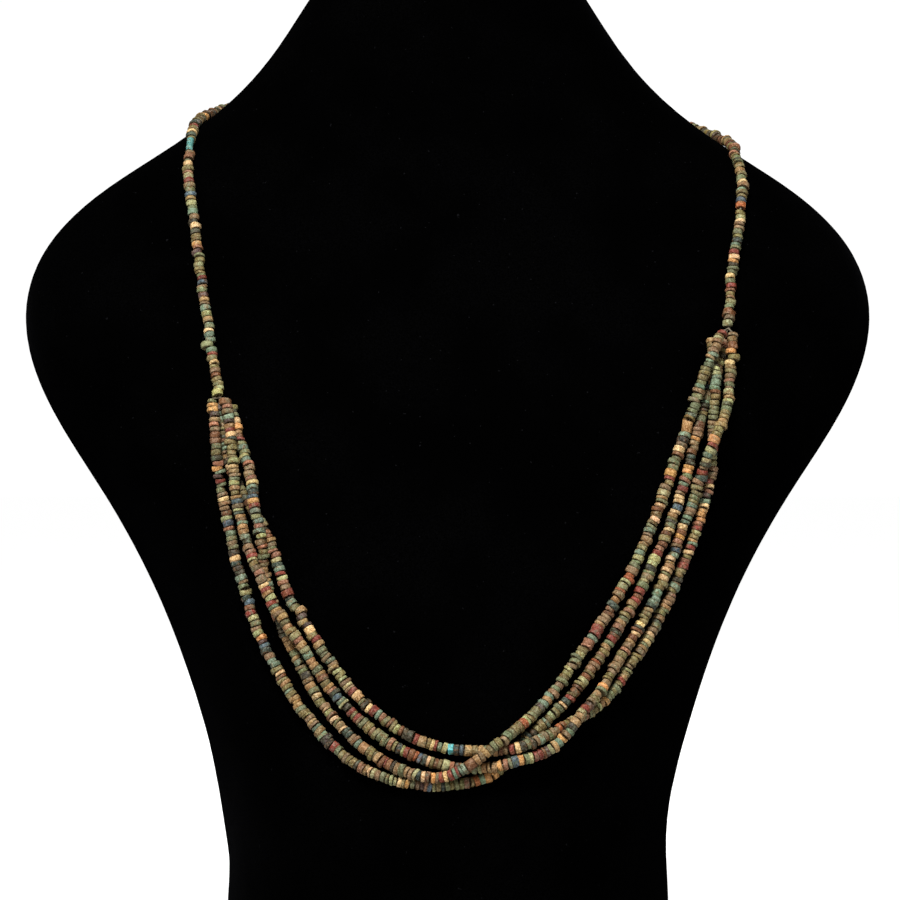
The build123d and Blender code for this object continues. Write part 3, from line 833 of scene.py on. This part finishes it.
strand_accents = {
    1: [
        (212, 399, "sea", 1.2), (214, 404, "honey", 1.1), (214, 411, "honey", 1.3, 1.08),
        (213, 418, "mauve", 1.2), (215, 423, "rose", 1.2), (216, 430, "taupe"), (215, 439, "rose"),
        (216, 447, "moss"), (216, 455, "olive"), (217, 464, "rose"), (219, 469, "honey", 1.2),
        (219, 474, "mauve"), (220, 478, "red", 1.1), (222, 485, "moss"), (224, 495, "taupe"),
        (223, 501, "cream", 1.1, 1.1), (225, 511, "brown"), (226, 516, "leaf", 1.2, 1.1),
        (228, 524, "slate", 1.4), (229, 531, "sea", 1.4), (231, 541, "taupe"),
        (236, 559, "cream", 1.4, 1.08), (238, 564, "pine", 1.2), (241, 578, "sea", 1.6, 1.08),
        (244, 584, "moss", 1.3), (246, 589, "leaf", 1.4, 1.1), (247, 596, "pine", 1.1),
        (249, 601, "slate", 1.5), (251, 607, "brown", 1.2), (253, 611, "red", 1.4),
        (254, 618, "leaf", 1.3), (256, 623, "moss", 1.3), (259, 629, "leaf"), (260, 633, "honey", 1.3),
        (265, 644, "slate", 1.2), (278, 671, "cream", 1.0), (299, 703, "tan"), (314, 727, "sea"),
        (333, 744, "red"), (367, 771, "cream"), (372, 774, "leaf"), (395, 781, "cream"),
        (406, 782, "honey"), (431, 784, "leaf"), (453, 785, "moss"), (467, 782, "rose", 1.3),
        (474, 781, "orange", 1.4), (487, 778, "honey", 1.6), (492, 776, "honey", 1.6),
        (551, 717, "leaf"), (564, 704, "cream", 0.9), (568, 700, "red", 1.0), (594, 663, "orange"),
        (612, 642, "red"), (635, 602, "red"), (642, 592, "red"), (657, 558, "red", 1.5),
        (668, 533, "cream", 1.0), (671, 520, "tan"), (673, 516, "cream", 0.9), (675, 511, "slate", 1.5),
        (679, 505, "cream", 1.1), (680, 501, "cream", 1.1), (681, 494, "red", 1.5), (682, 488, "sea"),
        (686, 474, "honey", 1.2), (686, 470, "honey", 1.0), (692, 455, "brown"),
        (694, 444, "honey", 1.1), (709, 395, "slate"), (719, 368, "leaf", 1.1),
        (720, 350, "rose", 1.4, 1.1),
    ],
    2: [
        (226, 399, "moss", 1.3), (226, 407, "rose", 1.2), (226, 415, "sea", 1.4), (227, 420, "mauve"),
        (227, 426, "tan"), (229, 435, "cream", 1.3), (230, 440, "pine"), (232, 449, "olive"),
        (231, 468, "cream", 1.1), (232, 472, "tan"), (234, 482, "leaf", 1.2), (235, 490, "tan"),
        (236, 501, "slate", 1.2, 1.1), (239, 511, "leaf"), (241, 517, "tan"), (241, 523, "sea"),
        (242, 528, "tan"), (244, 539, "sea"), (247, 546, "taupe", 1.4), (250, 552, "rose"),
        (251, 556, "red", 1.1), (254, 560, "leaf"), (258, 573, "rose", 1.4), (263, 579, "taupe", 1.9),
        (266, 587, "cream", 1.1), (267, 591, "red", 1.1), (270, 596, "leaf", 1.2),
        (273, 600, "red", 1.3), (276, 606, "sea"), (281, 616, "tan", 1.4, 1.1), (305, 650, "leaf"),
        (331, 688, "rose"), (353, 714, "red"), (357, 718, "red"), (402, 751, "leaf", 0.8),
        (406, 753, "red"), (414, 757, "orange"), (418, 758, "slate", 0.9), (427, 762, "cream", 0.8),
        (434, 764, "brown"), (441, 765, "olive"), (450, 767, "rose"), (456, 767, "dark"),
        (495, 768, "tan", 1.4), (500, 767, "honey", 1.2), (505, 764, "rose", 1.4),
        (511, 761, "slate", 1.5), (516, 760, "honey", 1.4), (521, 759, "moss", 1.2),
        (526, 757, "leaf", 1.2), (531, 757, "red", 1.1), (535, 756, "red", 1.1),
        (545, 750, "mauve", 1.1), (551, 746, "leaf", 1.1), (560, 738, "honey", 1.2),
        (571, 722, "tan", 1.5), (574, 719, "tan", 1.5), (578, 714, "leaf", 1.2), (583, 711, "red", 1.3),
        (586, 706, "mauve", 1.2), (603, 689, "honey", 1.3), (635, 637, "cream"), (641, 625, "cream"),
        (664, 580, "cream", 1.3, 1.08), (666, 574, "cream", 1.2, 1.08), (669, 561, "cream", 1.2),
        (671, 557, "sea"), (673, 553, "slate", 1.2), (678, 541, "rose", 1.3), (683, 532, "brown"),
        (685, 527, "cream", 1.5), (702, 475, "red", 1.3), (707, 459, "sea", 1.2),
        (709, 455, "leaf", 1.4, 1.08), (711, 446, "red", 1.1), (712, 441, "honey", 1.7, 1.12),
        (727, 402, "leaf"), (727, 394, "leaf"), (729, 366, "cream"), (738, 361, "olive", 1.5, 1.1, 0.8),
        (731, 354, "honey", 1.2),
    ],
    3: [
        (222, 443, "brown"), (228, 466, "cream"), (238, 483, "dark"), (252, 507, "tan"),
        (254, 526, "moss"), (271, 549, "moss"), (271, 554, "rose", 1.3), (272, 561, "leaf", 1.2),
        (274, 565, "pine", 1.1), (275, 570, "sea", 1.3), (277, 574, "red", 0.9),
        (278, 579, "leaf", 1.1), (280, 583, "rose", 1.1), (282, 588, "taupe", 1.3),
        (286, 594, "red", 1.9, 1.12), (291, 600, "sea", 1.4), (292, 606, "olive", 1.4),
        (298, 611, "tan", 1.5, 1.1, 0.9), (298, 618, "mauve", 1.1), (299, 623, "tan", 1.3),
        (306, 629, "cream", 1.7), (314, 640, "red", 1.3, 1.0, 0.6), (326, 664, "sea"),
        (338, 683, "leaf"), (342, 687, "leaf"), (348, 693, "red", 1.2, 1.0, 0.3), (354, 699, "cream"),
        (366, 708, "cream"), (368, 711, "red"), (374, 713, "sea"), (396, 728, "leaf"),
        (414, 740, "red", 1.2), (421, 742, "tan", 2.0), (427, 744, "olive", 1.0),
        (432, 745, "cream", 0.9), (438, 747, "red", 0.8), (442, 748, "leaf", 1.3),
        (448, 750, "turquoise", 1.5), (453, 750, "pine", 1.2), (457, 750, "slate", 1.0),
        (465, 751, "tan", 1.9), (472, 750, "olive", 1.5), (480, 750, "tan", 1.2),
        # The dark disc at 520 across lies in the shadow behind another strand: its dark tint is painted
        # shade.
        (508, 748, "red", 1.4), (514, 748, "cream", 1.3, 1.05), (520, 746, "dark"),
        (538, 740, "sea", 1.3), (557, 731, "orange", 1.2), (583, 713, "rose"), (597, 706, "leaf"),
        (621, 681, "red"), (645, 645, "cream", 1.1), (650, 637, "cream", 1.1), (671, 597, "rose"),
        (682, 570, "red", 1.6), (684, 560, "rose", 1.2), (689, 550, "red", 1.1), (690, 545, "sea"),
        (697, 531, "red", 1.1), (698, 527, "rose", 1.0), (699, 522, "honey", 1.1),
        (700, 517, "honey", 1.2), (700, 513, "honey", 1.1), (702, 506, "cream", 1.2),
        (706, 494, "rose", 1.1), (707, 487, "cream", 1.1), (710, 481, "red", 1.1), (712, 447, "red"),
        (714, 391, "sea"), (716, 372, "leaf"), (712, 348, "olive"),
    ],
    4: [
        (234, 419, "cream", 1.6, 1.05), (236, 427, "honey", 1.7, 1.05), (238, 441, "red", 0.8),
        (243, 460, "sea"), (247, 471, "taupe", 1.5), (248, 477, "taupe"),
        (249, 484, "cream", 1.2, 1.15), (251, 491, "pine", 1.3), (252, 495, "slate", 0.9, 1.1),
        (253, 500, "honey", 1.2, 1.1), (254, 504, "red", 1.1, 1.08), (252, 510, "sea", 1.4),
        (252, 516, "leaf", 1.1), (251, 521, "sea", 1.2), (256, 527, "rose", 1.2),
        (257, 532, "sea", 1.2, 1.15), (260, 536, "leaf", 1.0), (261, 541, "taupe", 1.5),
        (263, 546, "rose"), (271, 580, "tan"), (281, 618, "rose"), (287, 640, "tan"), (303, 664, "sea"),
        (317, 698, "cream"), (334, 719, "cream"), (342, 730, "cream"), (363, 747, "tan", 2.0),
        (384, 763, "red"), (407, 770, "tan"), (424, 776, "cream"), (435, 779, "honey", 1.2),
        (440, 779, "red", 1.1), (445, 779, "cream", 1.0), (450, 778, "red", 1.3), (455, 776, "sea"),
        (462, 771, "sea", 0.8), (470, 767, "brown", 2.5, 0.98), (478, 761, "tan", 1.3, 1.05),
        (482, 757, "taupe", 1.2, 1.05), (485, 754, "tan", 1.2, 1.05), (490, 749, "olive", 1.3),
        (494, 746, "moss", 1.2), (498, 743, "olive", 1.4), (502, 740, "taupe", 1.2),
        (507, 736, "moss", 1.5), (511, 733, "moss", 1.2), (523, 726, "orange", 1.4),
        (528, 721, "leaf", 0.9), (534, 714, "olive", 2.0), (540, 709, "mauve"), (546, 702, "tan", 1.2),
        (569, 671, "leaf", 1.0), (601, 627, "tan"), (637, 561, "leaf"), (641, 551, "sea"),
        (655, 519, "cream", 1.1), (660, 506, "cream", 1.1), (669, 480, "red", 0.8),
        (670, 475, "honey", 1.9, 1.12), (681, 451, "cream", 1.6, 1.1), (685, 431, "tan", 3.4),
        (703, 378, "olive"), (719, 341, "leaf", 1.0), (721, 335, "red", 0.9),
        (723, 330, "sea", 1.5, 1.1),
    ],
}
strand_radius = 1.35 * mm
strand_faience = faience_material("strand_faience", soil=0.8, wear=0.5, gloss=0.2)
strand_grading = 0.03
strand_lines = {}
for number, route in strand_routes.items():
    line = string_line([front_place(point, strand_radius) for point in route])
    strand_lines[number] = line
    chance = np.random.default_rng(100 + number)
    rows = strung_discs(
        line, 0.0, line.reach[-1], strand_accents[number], strand_radius, strand_grading, chance
    )
    piece = disc_piece(f"strand_{number}_discs", line, rows, strand_faience, chance)
    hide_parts(f"strand_{number}")
    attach(piece, "root")


# Threads of the four strands. Each is one length of the same cotton, from end to end of its
# strand, inside the discs.
strand_thread_radius = 0.22 * mm
thread_step = 1.5 * mm


def thread_piece(name, line, radius, material):
    """A round thread along a line: a circle of six points carried along it, closed at both ends
    by a circle of no width."""
    sides = 6
    reached = np.linspace(line.reach[0], line.reach[-1], int(line.reach[-1] / thread_step))
    reached = np.concatenate([reached[:1], reached, reached[-1:]])
    centre, way = on_line(line, reached)
    width = np.full(len(reached), radius)
    width[[0, -1]] = 0.0
    first = unit(np.cross(way, (0.0, 1.0, 0.0)))
    second = np.cross(way, first)
    turn = np.arange(sides) * 2 * math.pi / sides
    points = (
        centre[:, None]
        + first[:, None] * (width[:, None] * np.cos(turn))[..., None]
        + second[:, None] * (width[:, None] * np.sin(turn))[..., None]
    )
    return mesh_piece(name, points.reshape(-1, 3), ring_faces(len(reached), sides, closed=False), material)


for number, line in strand_lines.items():
    piece = thread_piece(f"strand_{number}_thread", line, strand_thread_radius, thread_cotton)
    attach(piece, "root")


# Floor, lights and camera. The bust stands on a plain pale floor in a white studio. A soft light
# hangs above and in front of it, with weaker ones on both sides and behind, and the camera
# looks straight at the chest from the photo's distance.
def glow(tree, on_object, in_camera):
    """A strength of glow: one for the light that falls on the object, one for what is seen."""
    seen_directly = node(tree, "ShaderNodeLightPath").outputs["Is Camera Ray"]
    sockets = {"Value": seen_directly, "To Min": on_object, "To Max": in_camera}
    return node(tree, "ShaderNodeMapRange", sockets).outputs["Result"]


floor_white, tree, shader = new_material("floor_white")
place = node(tree, "ShaderNodeTexCoord").outputs["Object"]
speck = noise(tree, place, scale=60.0, detail=3.0)
paper = mixed(tree, between(tree, speck, 0.3, 0.7), (0.50, 0.50, 0.50, 1), (0.54, 0.54, 0.54, 1))
tree.links.new(paper, shader.inputs["Base Color"])
shader.inputs["Roughness"].default_value = 0.9
shader.inputs["Emission Color"].default_value = (1, 1, 1, 1)
tree.links.new(glow(tree, on_object=0.02, in_camera=0.97), shader.inputs["Emission Strength"])

floor_half = 12.0
floor_points = np.array([
    (-floor_half, -floor_half, 0), (floor_half, -floor_half, 0),
    (floor_half, floor_half, 0), (-floor_half, floor_half, 0),
])
floor = mesh_piece("floor", floor_points, np.array([[0, 1, 2, 3]]), floor_white)

world = bpy.data.worlds.new("white_studio")
world.use_nodes = True
bpy.context.scene.world = world
tree = world.node_tree
backdrop = tree.nodes["Background"]
backdrop.inputs["Color"].default_value = (1, 1, 1, 1)
tree.links.new(glow(tree, on_object=0.045, in_camera=1.05), backdrop.inputs["Strength"])

chest = Vector((0, -0.05, 0.15))


def soft_light(name, place, width, power):
    """A square area light that faces the chest."""
    data = bpy.data.lights.new(name, "AREA")
    data.size = width
    data.energy = power
    lamp = bpy.data.objects.new(name, data)
    lamp.location = place
    lamp.rotation_euler = (chest - Vector(place)).to_track_quat("-Z", "Y").to_euler()
    bpy.context.scene.collection.objects.link(lamp)


soft_light("key_light", place=(-0.20, -0.92, 1.22), width=0.42, power=31.0)
soft_light("left_light", place=(-1.2, -0.9, 0.35), width=0.6, power=1.2)
soft_light("right_light", place=(1.2, -0.9, 0.40), width=0.6, power=1.2)
soft_light("back_light", place=(0.3, 1.3, 0.8), width=0.6, power=5.0)

picture_pixels = 900
camera_data = bpy.data.cameras.new("camera")
camera_data.sensor_width = 36.0
camera_data.lens = camera_data.sensor_width * photo_distance / (picture_pixels * photo_pixel)
camera = bpy.data.objects.new("camera", camera_data)
camera.location = ((picture_pixels / 2 - photo_centre_across) * photo_pixel, -photo_distance, photo_height)
camera.rotation_euler = (math.pi / 2, 0, 0)
bpy.context.scene.collection.objects.link(camera)
bpy.context.scene.camera = camera
bpy.context.scene.view_settings.view_transform = "Standard"
